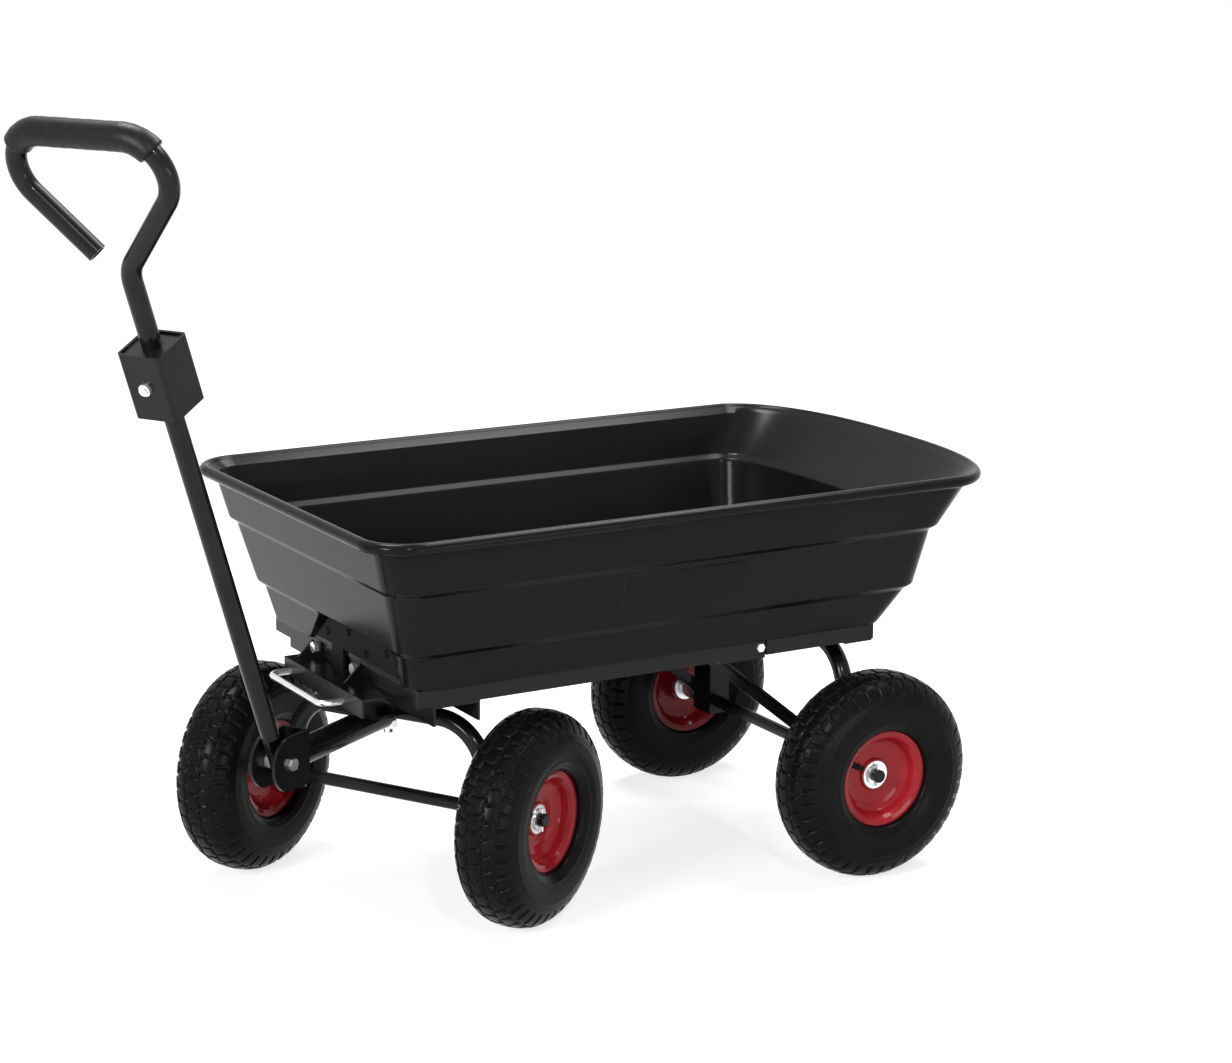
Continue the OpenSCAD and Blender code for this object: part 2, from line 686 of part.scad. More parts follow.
module front_axle() color(steel_black) steered() axle_rod(front_track);

module steering_plate() color(steel_black) steered() difference() {
    slab([-80, -42, plate_top - steer_plate_t], [42, 42, plate_top]);
    cylinder(d = kingpin_d + 2 * seat, h = 2 * rail_top);
}

module thrust_washer() color(zinc) steered() translate([0, 0, plate_top + face_gap])
    collar(kingpin_d + 28, kingpin_d + 2 * seat, washer_t);

// Bolt on which the front axle swivels, with its washer and nut under the arch
module kingpin() color(zinc) steered() {
    low = front_arch_z - tube_d / 2 - seat;
    washer = 2;
    nut = 10;
    tail = 18;
    translate([0, 0, rail_low + face_gap]) cylinder(d1 = 2 * kingpin_d, d2 = 1.6 * kingpin_d, h = 5);
    translate([0, 0, low - tail]) cylinder(d = kingpin_d, h = rail_low + 1 - low + tail);
    translate([0, 0, low - washer]) cylinder(d = 2 * kingpin_d, h = washer);
    translate([0, 0, low - washer - nut]) cylinder(d = 1.85 * kingpin_d, h = nut, $fn = 6);
}

module neck_tube() color(steel_black) steered() translate([-clevis_back, 0, clevis_z]) rotate([0, 90, 0])
    collar(neck_d, neck_d - 4, clevis_back - tube_d / 2 - 2);

module clevis() color(steel_black) steered() difference() {
    union() {
        both_sides() side_plate(clevis_gap / 2, clevis_t) translate([-clevis_reach, clevis_z]) {
            circle(r = clevis_r);
            translate([0, -clevis_r]) square([clevis_reach - clevis_back, 2 * clevis_r]);
        }
        slab([-clevis_back - clevis_t, -clevis_gap / 2 - clevis_t, clevis_z - clevis_r],
             [-clevis_back, clevis_gap / 2 + clevis_t, clevis_z + clevis_r]);
    }
    across(-clevis_reach, clevis_z, pivot_d + 2 * seat, 2 * clevis_gap);
}

// Pivot bolt of the handle with its two spacers
module clevis_bolt() color(zinc) steered() translate([-clevis_reach, 0, clevis_z]) {
    translate([0, -clevis_gap / 2 - clevis_t, 0]) rotate([90, 0, 0])
        hex_bolt(pivot_d, clevis_gap + 2 * clevis_t);
    both_sides() translate([0, tongue_t / 2 + face_gap, 0]) rotate([-90, 0, 0])
        collar(pivot_d + 10, pivot_d + 2 * seat, (clevis_gap - tongue_t) / 2 - 2 * face_gap);
}

module front_axle_fittings() color(zinc) steered() axle_fittings(front_track, front_arch_half);

// Handle: a tube with a flat tongue, a hitch box, and a bent loop with a foam grip
module drawbar_tube() color(steel_black) on_handle() difference() {
    union() {
        translate([0, 0, tongue_end]) collar(tube_d, tube_bore, hitch_start + 12 - tongue_end);
        side_plate(-tongue_t / 2, tongue_t) {
            circle(d = tube_d);
            translate([-tube_d / 2, 0]) square([tube_d, tongue_end + 1]);
            translate([-tube_bore / 2, 0]) square([tube_bore, tongue_end + 16]);
        }
    }
    across(0, 0, pivot_d + 2 * run_fit, 2 * tube_d);
}

// A square with rounded corners
module round_square(w, r) {
    square([w, w - 2 * r], center = true);
    square([w - 2 * r, w], center = true);
    for (x = [-1, 1], y = [-1, 1]) translate([x * (w / 2 - r), y * (w / 2 - r)]) circle(r = r);
}

module hitch_box() color(steel_black) on_handle() difference() {
    fold = 5;
    lid = 2.5;
    translate([0, 0, hitch_start]) linear_extrude(hitch_len) round_square(hitch_w, fold);
    translate([0, 0, hitch_start + plate_t]) linear_extrude(hitch_len - 2 * plate_t - lid)
        round_square(hitch_w - 2 * plate_t, fold - plate_t);
    translate([0, 0, hitch_start + hitch_len - lid]) linear_extrude(2 * lid)
        round_square(hitch_w - 2 * plate_t, fold - plate_t);
    translate([0, 0, hitch_start - 1]) cylinder(d = tube_d + 2 * seat, h = hitch_len + 2);
    translate([0, 0, pin_s]) rotate([0, 90, 0])
        cylinder(d = hitch_pin_d + 2 * seat, h = 2 * hitch_w, center = true);
}

module hitch_pin() color(zinc) on_handle() translate([0, 0, pin_s]) {
    rotate([0, 90, 0]) cylinder(d = hitch_pin_d, h = hitch_w + 14, center = true);
    translate([-hitch_w / 2 - seat, 0, 0]) rotate([0, -90, 0]) cylinder(d = hitch_pin_d + 4, h = 4);
}

module handle_loop() color(steel_black) on_handle() {
    stub = 16;
    difference() {
        translate([0, 0, pin_s - stub]) collar(tube_d, tube_bore, stub + upper_run);
        translate([0, 0, pin_s]) rotate([0, 90, 0])
            cylinder(d = hitch_pin_d + 2 * seat, h = 2 * tube_d, center = true);
    }
    translate([0, 0, pin_s + upper_run]) rotate([0, 0, -90])
        bend(loop_root_r, loop_slope, tube_d, tube_bore)
            rotate([0, 0, 180]) run(loop_side, tube_d, tube_bore)
                bend(loop_r, 90 + loop_slope, tube_d, tube_bore)
                    run(loop_top, tube_d, tube_bore)
                        bend(loop_r, 90 + loop_slope, tube_d, tube_bore)
                            run(loop_free, tube_d, tube_bore);
}

module handle_grip() color(foam_black) on_handle() translate([0, loop_near, handle_top]) {
    bore = tube_d + 2 * seat;
    rotate([-90, 0, 0]) rotate([0, 0, 90]) run(loop_top, grip_d, bore) bend(loop_r, grip_wrap, grip_d, bore);
    rotate([90, 0, 0]) rotate([0, 0, -90]) bend(loop_r, grip_wrap, grip_d, bore);
}

// Wheels
seat_r = rim_flange_d / 2 - 9.5;
tyre_mid = 89;
valve_w = 14;

// Half of the tyre's section, from the bead round the side wall to the crown
function tyre_side(t, inset) =
    let (r = wheel_d / 2 - inset, half = tyre_w / 2 - inset, foot = rim_w / 2 + 1.5 - inset)
    t < 90
    ? [tyre_mid - (tyre_mid - rim_flange_d / 2 - 1) * cos(t), foot + (half - foot) * pow(sin(t), 0.8)]
    : [tyre_mid + (r - tyre_mid) * sin(t - 90), half * pow(cos(t - 90), 0.75)];

module tyre_section() {
    lip = rim_w / 2;
    outer = [for (t = [0 : 18 : 162]) tyre_side(t, 0)];
    inner = [for (t = [0 : 18 : 162]) tyre_side(t, tyre_wall)];
    bead = [[seat_r + face_gap, lip - 10], [seat_r + face_gap, lip - 6.5], [seat_r + 1.1, lip - 4.4],
            [seat_r + 3.1, lip - rim_sheet - 0.65], [rim_flange_d / 2 + face_gap, lip - rim_sheet - 0.4]];
    out_half = concat(bead, outer);
    last = len(out_half) - 1;
    flip = [for (k = [last : -1 : 0]) [out_half[k][0], -out_half[k][1]]];
    end = len(inner) - 1;
    polygon(concat(out_half, [[wheel_d / 2, 0]], flip, [for (p = inner) [p[0], -p[1]]],
                   [[wheel_d / 2 - tyre_wall, 0]], [for (k = [end : -1 : 0]) inner[k]]));
}

module tyre() color(rubber_black) rotate_extrude() tyre_section();

// Air tube in the tyre with its valve stem through the rim
module inner_tube(valve_angle) color(rubber_black) {
    r = tyre_w / 2 - tyre_wall - 1;
    mid = wheel_d / 2 - tyre_wall - 0.5 - r;
    rotate_extrude() translate([mid, 0]) ring(2 * r, 2 * r - 4);
    root = mid - sqrt(r * r - valve_w * valve_w) + 1;
    rotate([0, 0, valve_angle]) translate([root, 0, valve_w]) rotate([0, -90, 0]) {
        cylinder(d = 8, h = root - 32);
        cylinder(d = 6, h = root - 25);
    }
}

// One pressed half of the rim: flange, bead seat, barrel, and a bowl down to the hub
hub_d = bearing_d + 6;
bowl_r = 27;
bowl_w = 8;
module rim_half() rotate_extrude() {
    lip = rim_w / 2;
    flange = rim_flange_d / 2;
    drop = seat_r - rim_sheet;
    deep = bowl_w + 9;
    back = bowl_w - rim_sheet;
    polygon(concat(
        [[flange, lip], [flange, lip - rim_sheet], [seat_r + 3, lip - rim_sheet - 0.3],
         [seat_r + 0.8, lip - 4], [seat_r, lip - 6], [seat_r, seat / 2], [drop, seat / 2]],
        [for (t = [90 : -15 : 0]) [bowl_r + (drop - bowl_r) * sin(t), back + 6 * (1 - cos(t))]],
        [[hub_d / 2 + seat, back], [hub_d / 2 + seat, bowl_w]],
        [for (t = [0 : 15 : 90])
            [bowl_r + (drop - 0.8 - bowl_r) * sin(t), bowl_w + (deep - bowl_w) * (1 - cos(t))]],
        [[drop + 1.2, lip - 5.5], [drop + 4.5, lip - 1.5], [drop + 9, lip]]
    ));
}

module rim_outer(valve_angle) color(rim_red) difference() {
    rim_half();
    rotate([0, 0, valve_angle]) translate([0, 0, valve_w]) rotate([0, 90, 0])
        cylinder(d = 9, h = rim_flange_d);
}

// The inner half of the rim with the hub welded into it
module rim_inner() color(rim_red) {
    mirror([0, 0, 1]) difference() {
        rim_half();
        cylinder(d = hub_d + 0.2, h = rim_w, center = true);
    }
    weld = rim_sheet - bowl_w + 0.1;
    hub_r = hub_d / 2;
    pocket_r = bearing_d / 2 + seat;
    waist_r = axle_d / 2 + 5;
    rotate_extrude() polygon([
        [pocket_r, -hub_in], [hub_r + 2, -hub_in], [hub_r + 2, weld], [hub_r, weld],
        [hub_r, hub_out - 1], [hub_r - 1, hub_out], [pocket_r, hub_out],
        [pocket_r, hub_out - bearing_w], [waist_r, hub_out - bearing_w],
        [waist_r, bearing_w - hub_in], [pocket_r, bearing_w - hub_in]
    ]);
}

// Two ball bearings, each with a groove between its races
module bearings() color(zinc) for (w = [hub_out - bearing_w + seat / 2, -hub_in]) translate([0, 0, w])
    difference() {
        collar(bearing_d, axle_d + 2 * run_fit, bearing_w - seat / 2);
        for (z = [-1, bearing_w - seat / 2 - 1]) translate([0, 0, z]) collar(bearing_d - 7, axle_d + 7, 2);
    }

valve_near = 152;
valve_far = 40;

module rear_near_tyre() at_rear(-1) tyre();
module rear_near_inner_tube() at_rear(-1) inner_tube(valve_near);
module rear_near_rim_outer() at_rear(-1) rim_outer(valve_near);
module rear_near_rim_inner() at_rear(-1) rim_inner();
module rear_near_bearings() at_rear(-1) bearings();
module rear_far_tyre() at_rear(1) tyre();
module rear_far_inner_tube() at_rear(1) inner_tube(valve_far);
module rear_far_rim_outer() at_rear(1) rim_outer(valve_far);
module rear_far_rim_inner() at_rear(1) rim_inner();
module rear_far_bearings() at_rear(1) bearings();
module front_near_tyre() at_front(-1) tyre();
module front_near_inner_tube() at_front(-1) inner_tube(valve_near);
module front_near_rim_outer() at_front(-1) rim_outer(valve_near);
module front_near_rim_inner() at_front(-1) rim_inner();
module front_near_bearings() at_front(-1) bearings();
module front_far_tyre() at_front(1) tyre();
module front_far_inner_tube() at_front(1) inner_tube(valve_far);
module front_far_rim_outer() at_front(1) rim_outer(valve_far);
module front_far_rim_inner() at_front(1) rim_inner();
module front_far_bearings() at_front(1) bearings();

tray_shell();
tray_hinge();
hinge_angles();
tray_catch();
tray_rivets();
side_rail_near();
side_rail_far();
front_cross_angle();
rear_cross_strap();
king_channel();
king_sleeve();
latch_channel();
latch_brackets();
frame_bolts();
rear_arch();
rear_axle();
rear_gussets();
rear_brace_near();
rear_brace_far();
rear_axle_fittings();
release_loop();
latch_bar();
latch_spring();
front_arch();
front_axle();
steering_plate();
thrust_washer();
kingpin();
neck_tube();
clevis();
clevis_bolt();
front_axle_fittings();
drawbar_tube();
hitch_box();
hitch_pin();
handle_loop();
handle_grip();
rear_near_tyre();
rear_near_inner_tube();
rear_near_rim_outer();
rear_near_rim_inner();
rear_near_bearings();
rear_far_tyre();
rear_far_inner_tube();
rear_far_rim_outer();
rear_far_rim_inner();
rear_far_bearings();
front_near_tyre();
front_near_inner_tube();
front_near_rim_outer();
front_near_rim_inner();
front_near_bearings();
front_far_tyre();
front_far_inner_tube();
front_far_rim_outer();
front_far_rim_inner();
front_far_bearings();
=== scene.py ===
import json
import math

import bmesh
import bpy
import numpy as np
from mathutils import Matrix, Vector


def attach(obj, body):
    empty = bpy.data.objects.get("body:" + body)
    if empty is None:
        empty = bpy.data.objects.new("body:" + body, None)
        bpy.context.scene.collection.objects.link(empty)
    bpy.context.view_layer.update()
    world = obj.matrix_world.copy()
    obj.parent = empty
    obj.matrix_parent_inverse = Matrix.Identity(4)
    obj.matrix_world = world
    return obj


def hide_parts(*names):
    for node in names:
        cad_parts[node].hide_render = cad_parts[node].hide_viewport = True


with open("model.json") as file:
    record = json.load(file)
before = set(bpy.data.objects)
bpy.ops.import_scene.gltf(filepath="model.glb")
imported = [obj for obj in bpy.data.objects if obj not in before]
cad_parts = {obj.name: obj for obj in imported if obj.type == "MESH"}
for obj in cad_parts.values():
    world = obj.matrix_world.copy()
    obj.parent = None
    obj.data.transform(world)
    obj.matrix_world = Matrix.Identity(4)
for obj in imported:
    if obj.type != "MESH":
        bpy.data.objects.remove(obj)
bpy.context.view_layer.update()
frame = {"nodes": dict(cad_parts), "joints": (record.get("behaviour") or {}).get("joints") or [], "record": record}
nodes = frame["nodes"]
joints = {j["name"]: j for j in frame["joints"]}

# The cart's own coordinates: millimetres, x = 0 at the rear axle, y = 0 in the middle.
# +x is the dumping end and -y the near side.
MM = 1000.0
rear_near = Vector(joints["rear_near_spin"]["pos_m"])
rear_far = Vector(joints["rear_far_spin"]["pos_m"])
BASE = Vector((rear_near.x, (rear_near.y + rear_far.y) / 2, 0.0))


def cart_array(points):
    """Points of the cart's own coordinates, in metres of the shared frame."""
    return np.asarray(points, float) / MM + np.array(BASE)


def clip(v, top):
    return min(max(v, 0.0), top)


# Materials

def node_material(name):
    m = bpy.data.materials.new(name)
    m.use_nodes = True
    tree = m.node_tree
    return m, tree, tree.nodes["Principled BSDF"]


def add(tree, kind, **values):
    n = tree.nodes.new(kind)
    for k, v in values.items():
        n.inputs[k].default_value = v
    return n


def noise(tree, scale, detail=4.0):
    n = add(tree, "ShaderNodeTexNoise", Scale=scale, Detail=detail, Roughness=0.55)
    coord = tree.nodes.new("ShaderNodeTexCoord")
    tree.links.new(coord.outputs["Object"], n.inputs["Vector"])
    return n


def vary_color(tree, bsdf, source, low, high):
    ramp = tree.nodes.new("ShaderNodeValToRGB")
    for stop, position, color in zip(ramp.color_ramp.elements, (0.3, 0.7), (low, high)):
        stop.position = position
        stop.color = (*color, 1)
    tree.links.new(source.outputs["Fac"], ramp.inputs["Fac"])
    tree.links.new(ramp.outputs["Color"], bsdf.inputs["Base Color"])


def vary_rough(tree, bsdf, source, low, high):
    r = add(tree, "ShaderNodeMapRange")
    r.inputs["To Min"].default_value = low
    r.inputs["To Max"].default_value = high
    tree.links.new(source.outputs["Fac"], r.inputs["Value"])
    tree.links.new(r.outputs["Result"], bsdf.inputs["Roughness"])


def add_bump(tree, bsdf, source, strength, distance):
    b = add(tree, "ShaderNodeBump", Strength=strength, Distance=distance)
    tree.links.new(source.outputs["Fac"], b.inputs["Height"])
    tree.links.new(b.outputs["Normal"], bsdf.inputs["Normal"])


def make(name, low, high, rough, color_scale, bump, metallic=0.0, coat=0.0, spec=0.5):
    """A finish of two colours and two roughnesses; its bump is a scale, a strength and metres."""
    m, tree, bsdf = node_material(name)
    broad = noise(tree, color_scale)
    bump_scale, strength, distance = bump
    fine = noise(tree, bump_scale, detail=1.5)
    vary_color(tree, bsdf, broad, low, high)
    vary_rough(tree, bsdf, broad, *rough)
    add_bump(tree, bsdf, fine, strength, distance)
    bsdf.inputs["Metallic"].default_value = metallic
    bsdf.inputs["Coat Weight"].default_value = coat
    bsdf.inputs["Coat Roughness"].default_value = 0.14
    bsdf.inputs["Specular IOR Level"].default_value = spec
    return m


TRAY = make("tray_plastic", (0.0065, 0.0065, 0.0068), (0.0095, 0.0095, 0.0099),
            rough=(0.15, 0.22), color_scale=9, bump=(900, 0.05, 0.0006), spec=0.08)
STEEL = make("black_steel", (0.007, 0.007, 0.0073), (0.010, 0.010, 0.0104),
             rough=(0.22, 0.30), color_scale=30, bump=(160, 0.01, 0.0004), coat=0.22, spec=0.06)
# Painted shade: a darker, duller steel that stands in for the shade in the front pocket. It is used on the catch
# plate and on its rivets, which are zinc but are painted dark.
SHADE_STEEL = make("black_steel_painted_shade", (0.005, 0.005, 0.0053), (0.008, 0.008, 0.0083),
            rough=(0.50, 0.62), color_scale=60, bump=(500, 0.08, 0.0004), spec=0.04)
ZINC = make("zinc_steel", (0.72, 0.73, 0.75), (0.88, 0.89, 0.90),
            rough=(0.18, 0.30), color_scale=160, bump=(500, 0.12, 0.0004), metallic=0.8)
RIM = make("rim_paint", (0.34, 0.013, 0.019), (0.42, 0.019, 0.027),
           rough=(0.07, 0.11), color_scale=40, bump=(300, 0.03, 0.0004), coat=0.08, spec=0.12)
TYRE = make("tyre_rubber", (0.0045, 0.0045, 0.0045), (0.0075, 0.0075, 0.0075),
            rough=(0.20, 0.30), color_scale=60, bump=(1200, 0.14, 0.0005), spec=0.06)
FOAM = make("grip_foam", (0.007, 0.007, 0.0075), (0.012, 0.012, 0.0126),
            rough=(0.30, 0.40), color_scale=120, bump=(1400, 0.22, 0.0008), spec=0.14)
PAINT = {"tray_plastic": TRAY, "black_steel": STEEL, "zinc_steel": ZINC, "rim_paint": RIM,
         "tyre_rubber": TYRE, "tube_rubber": TYRE, "grip_foam": FOAM}
# Parts in the front pocket that get the painted-shade steel in place of their own finish
SHADE_NODES = ("tray_catch", "tray_rivets")
for part in frame["record"]["subparts"]:
    mesh = nodes[part["node"]].data
    mesh.materials.clear()
    mesh.materials.append(SHADE_STEEL if part["node"] in SHADE_NODES else PAINT[part["material_slot"]])


# Mesh helpers

def mesh_object(name, points, faces, material, sharp=None):
    """A smooth-shaded mesh whose edges over an angle, in degrees, stay sharp."""
    me = bpy.data.meshes.new(name)
    me.from_pydata([tuple(p) for p in points], [], [tuple(f) for f in faces])
    me.update()
    me.materials.append(material)
    bm = bmesh.new()
    bm.from_mesh(me)
    bmesh.ops.recalc_face_normals(bm, faces=bm.faces)
    for f in bm.faces:
        f.smooth = True
    if sharp is not None:
        limit = math.radians(sharp)
        for e in bm.edges:
            if len(e.link_faces) == 2 and e.calc_face_angle(0.0) > limit:
                e.smooth = False
    bm.to_mesh(me)
    bm.free()
    ob = bpy.data.objects.new(name, me)
    bpy.context.scene.collection.objects.link(ob)
    return ob


def ring_faces(rows, cols, closed=False):
    """Quads of a grid whose columns close into a ring, and its rows too where it is closed."""
    faces = []
    for r in range(rows if closed else rows - 1):
        here, above = r * cols, (r + 1) % rows * cols
        for c in range(cols):
            d = (c + 1) % cols
            faces.append((here + c, here + d, above + d, above + c))
    return faces


# Tray: the same loft as the CAD tray, with rounded steps and corners and an overhanging rim

RAIL_TOP, STEP_LOW, STEP_UP, STEP_RISE, STEP_W = 312.0, 42.0, 120.0, 6.0, 7.0
RIM_Z, BEAD_R, ROLL_OUT, WALL = 496.5, 7.0, 12.3, 4.5
LOW_Z, UP_Z, BAND_TOP_Z = RAIL_TOP + STEP_LOW, RAIL_TOP + STEP_UP, RIM_Z - BEAD_R
BAND_MID = STEP_UP - STEP_LOW - STEP_RISE
BAND_TOP = BAND_TOP_Z - UP_Z - STEP_RISE
# Lean of the walls: sides, sides of the top band, front of the top band, and the rear by band
DRAFT, DRAFT_TOP, FRONT_LEAN, SCOOP = 0.26, 0.19, 0.26, (0.84, 0.14, 1.27)
# Depth of the bowed rear wall at the ledge, over the lower step and at the rim
BOW = (64.0, 70.0, 90.0)
CORNER_R, CORNER_GROWTH = 32.0, 8.0
DECK_X = -609.0
LEDGE_HALF, LEDGE_FRONT, LEDGE_REAR = 200.3, DECK_X - 8.0, 55.0
WELL_HALF, WELL_FRONT, WELL_REAR = 172.0, DECK_X + 25.0, LEDGE_REAR - 36.0
WELL_BOW, WELL_CORNER_R, WELL_ROUND, WELL_FLAT = 40.0, 24.0, 3.0, 18.0
FLOOR_Z = RAIL_TOP - 8.0
POCKET_X, POCKET_SLANT = DECK_X - 4.0, 57.0
PANEL_TOP, PANEL_H, PANEL_EDGE, PANEL_SINK = UP_Z - 8.0, 40.0, 1.5, 3.0
# The skin inside a wall: how far it is lifted and drawn in at the rear, in walls
SKIN_LIFT, SKIN_REAR = 0.8, 1.2
# The rolled rim is flatter in the middle of the rear lip
LIP_SHARE, LIP_SPREAD = 0.75, 0.6
# Below 1 the bowed rear is squarer than an ellipse
REAR_SQUARE = 0.8
OUTER_ROUND, INNER_ROUND = 2.0, 2.5
CORNER_PARTS, REAR_PARTS = 16, 72

# The values of a ring, all round the tray at one level
Z, HALF, FRONT, REAR, BOWED, CORNER, POCKET, PANEL, OUT, LIFT, SKIN = range(11)


def wall_at(z, pocket=0.0, panel=0.0):
    low = clip(z - RAIL_TOP, STEP_LOW)
    mid = clip(z - RAIL_TOP - STEP_LOW - STEP_RISE, BAND_MID)
    top = clip(z - RAIL_TOP - STEP_UP - STEP_RISE, BAND_TOP)
    steps = STEP_W * (clip((z - LOW_Z) / STEP_RISE, 1) + clip((z - UP_Z) / STEP_RISE, 1))
    half = LEDGE_HALF + DRAFT * (low + mid) + DRAFT_TOP * top + steps
    front = LEDGE_FRONT - DRAFT * (low + mid) - FRONT_LEAN * top - steps
    rear = LEDGE_REAR + SCOOP[0] * low + SCOOP[1] * mid + SCOOP[2] * top + steps
    bow = BOW[0] + (BOW[1] - BOW[0]) * low / STEP_LOW + (BOW[2] - BOW[1]) * top / BAND_TOP
    corner = CORNER_R + CORNER_GROWTH * (z - RAIL_TOP) / (BAND_TOP_Z - RAIL_TOP)
    return np.array([z, half, front, rear, bow, corner, pocket, panel, 0, 0, 0])


def well_at(z, inset):
    return np.array([z, WELL_HALF - inset, WELL_FRONT + inset, WELL_REAR - inset, WELL_BOW,
                     WELL_CORNER_R - inset, 0, 0, 0, 0, 0])


def roll_at(a):
    s = wall_at(BAND_TOP_Z)
    s[Z] = RIM_Z
    s[OUT] = ROLL_OUT + BEAD_R * math.cos(math.radians(a))
    s[LIFT] = BEAD_R * math.sin(math.radians(a))
    return s


def inside(s):
    """The inner skin's ring for an outer one; the side panels don't show inside."""
    t = s.copy()
    t[Z] += SKIN_LIFT * WALL
    t[HALF] -= WALL
    t[FRONT] += WALL
    t[REAR] -= SKIN_REAR * WALL
    t[CORNER] -= WALL
    t[PANEL] = 0
    t[SKIN] = WALL
    return t


def rounded(profile, reach):
    """A chain of rings with each inner ring replaced by a short curve."""
    out = [profile[0]]
    for a, b, c in zip(profile, profile[1:], profile[2:]):
        da, dc = np.linalg.norm((b - a)[:4]), np.linalg.norm((c - b)[:4])
        ta, tc = min(reach / max(da, 1e-6), 0.45), min(reach / max(dc, 1e-6), 0.45)
        p, q = b + (a - b) * ta, b + (c - b) * tc
        for t in (0.0, 0.33, 0.67, 1.0):
            out.append((1 - t) ** 2 * p + 2 * t * (1 - t) * b + t * t * q)
    out.append(profile[-1])
    return out


outer_well = [well_at(FLOOR_Z, WELL_FLAT), well_at(FLOOR_Z, WELL_ROUND),
              well_at(FLOOR_Z + WELL_ROUND, 0), well_at(RAIL_TOP, 0)]
outer_wall = [wall_at(RAIL_TOP, 1), wall_at(LOW_Z, 1), wall_at(LOW_Z + STEP_RISE),
              wall_at(PANEL_TOP - PANEL_H), wall_at(PANEL_TOP, 0, 1),
              wall_at(PANEL_TOP + PANEL_EDGE),
              wall_at(UP_Z), wall_at(UP_Z + STEP_RISE), wall_at(BAND_TOP_Z)]
inner_wall = [inside(s) for s in reversed(outer_wall)]
inner_well = [well_at(RAIL_TOP + SKIN_LIFT * WALL, WALL),
              well_at(FLOOR_Z + WALL + WELL_ROUND, WALL),
              well_at(FLOOR_Z + WALL, WALL + WELL_ROUND), well_at(FLOOR_Z + WALL, WELL_FLAT)]
levels = rounded(outer_well + outer_wall, OUTER_ROUND)
levels += [roll_at(a) for a in range(-125, 156, 14)]
levels += rounded(inner_wall + inner_well, INNER_ROUND)

# Stations round a ring: a kind, an angle or a place along it, and whether it may be sunk
SIDE = [(-555, 0), (-364, 0), (-360, 0), (-357, 1), (-200, 1), (-197, 0), (-193, 0), (-40, 0)]
FRONT_Y = [(78, 0), (74, 1), (-60, 1), (-164, 1), (-168, 0)]
stations = [("near_corner", 180 + 90 * k / CORNER_PARTS, 0) for k in range(CORNER_PARTS + 1)]
stations += [("near_side", x, s) for x, s in SIDE]
stations += [("rear", -90 + 180 * k / REAR_PARTS, 0) for k in range(REAR_PARTS + 1)]
stations += [("far_side", x, s) for x, s in reversed(SIDE)]
stations += [("far_corner", 90 + 90 * k / CORNER_PARTS, 0) for k in range(CORNER_PARTS + 1)]
stations += [("front", y, s) for y, s in FRONT_Y]


def station_point(s, station):
    kind, t, sunk = station
    turning = kind in ("near_corner", "far_corner", "rear")
    c = math.cos(math.radians(t)) if turning else 0.0
    n = math.sin(math.radians(t)) if turning else 0.0
    share = 1 - (1 - LIP_SHARE) * max(c, 0.0) ** LIP_SPREAD if kind == "rear" else 1.0
    o = s[OUT] * share
    half, front, r, z = s[HALF] + o, s[FRONT] - o, s[CORNER] + o, s[Z] + s[LIFT] * share
    if kind == "near_corner":
        return front + r + r * c, -half + r + r * n, z
    if kind == "far_corner":
        return front + r + r * c, half - r + r * n, z
    if kind == "near_side":
        return t, -half + s[PANEL] * sunk * PANEL_SINK, z
    if kind == "far_side":
        return t, half - s[PANEL] * sunk * PANEL_SINK, z
    if kind == "rear":
        # Rounder corners and a flatter middle below the rim
        power = 0.5 + 0.5 * clip((s[BOWED] - BOW[1]) / (BOW[2] - BOW[1]), 1)
        x = s[REAR] - s[BOWED] + (s[BOWED] + o) * max(c, 0.0) ** power
        return x, half * math.copysign(abs(n) ** REAR_SQUARE, n), z
    deep = max(front, POCKET_X + s[SKIN])
    rise = clip((s[Z] - RAIL_TOP) / (STEP_LOW + STEP_RISE), 1)
    slant = POCKET_SLANT * rise if t > 0 else 0.0
    return front + (deep - front) * s[POCKET] * sunk, t - slant, z


around = len(stations)
points = [station_point(s, station) for s in levels for station in stations]
faces = ring_faces(len(levels), around)
top_row = (len(levels) - 1) * around
faces += [tuple(range(around)), tuple(range(top_row, top_row + around))]
tray = mesh_object("tray_look", cart_array(points), faces, TRAY, sharp=40)
flat = tray.modifiers.new("flat_faces", "WEIGHTED_NORMAL")
flat.mode = "FACE_AREA"
flat.weight = 100
flat.keep_sharp = True
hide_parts("tray_shell")
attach(tray, "tray")


# Tyres: a block tread in five rows, its outer lugs scalloping the shoulders

WHEEL_R, TYRE_HALF, TYRE_MID, RIM_LIP, FLANGE_R = 130.0, 41.0, 89.0, 28.5, 60.0
PITCHES, PER_PITCH, TREAD, LUG = 40, 14, 2.2, 3.6
TREAD_R = 106.0
# Share of the section that the lining inside keeps
CASING = 0.866
# Middles of the two grooves on each half of the tread, and how far they swing
GROOVE_IN, GROOVE_OUT, GROOVE_SWING = 9.0, 24.0, 0.8
BEAD = [(52.0, 20.0), (60.3, 25.6)]
BEAD_INSIDE = [(52.5, 15.5), (60.0, 20.5)]


def tyre_side(t):
    """Radius and distance from the middle, from 0 at the rim to 180 at the crown."""
    foot = RIM_LIP + 1.5
    a = math.radians(t)
    if t < 90:
        return (TYRE_MID - (TYRE_MID - FLANGE_R - 1) * math.cos(a),
                foot + (TYRE_HALF - foot) * math.sin(a) ** 0.8)
    b = a - math.pi / 2
    return (TYRE_MID + (WHEEL_R - TYRE_MID) * math.sin(b),
            TYRE_HALF * max(math.cos(b), 0) ** 0.75)


def soft(x):
    """1 inside the unit band, falling smoothly to 0 just outside it."""
    return 1.0 - clip((abs(x) - 0.6) / 0.8, 1.0)


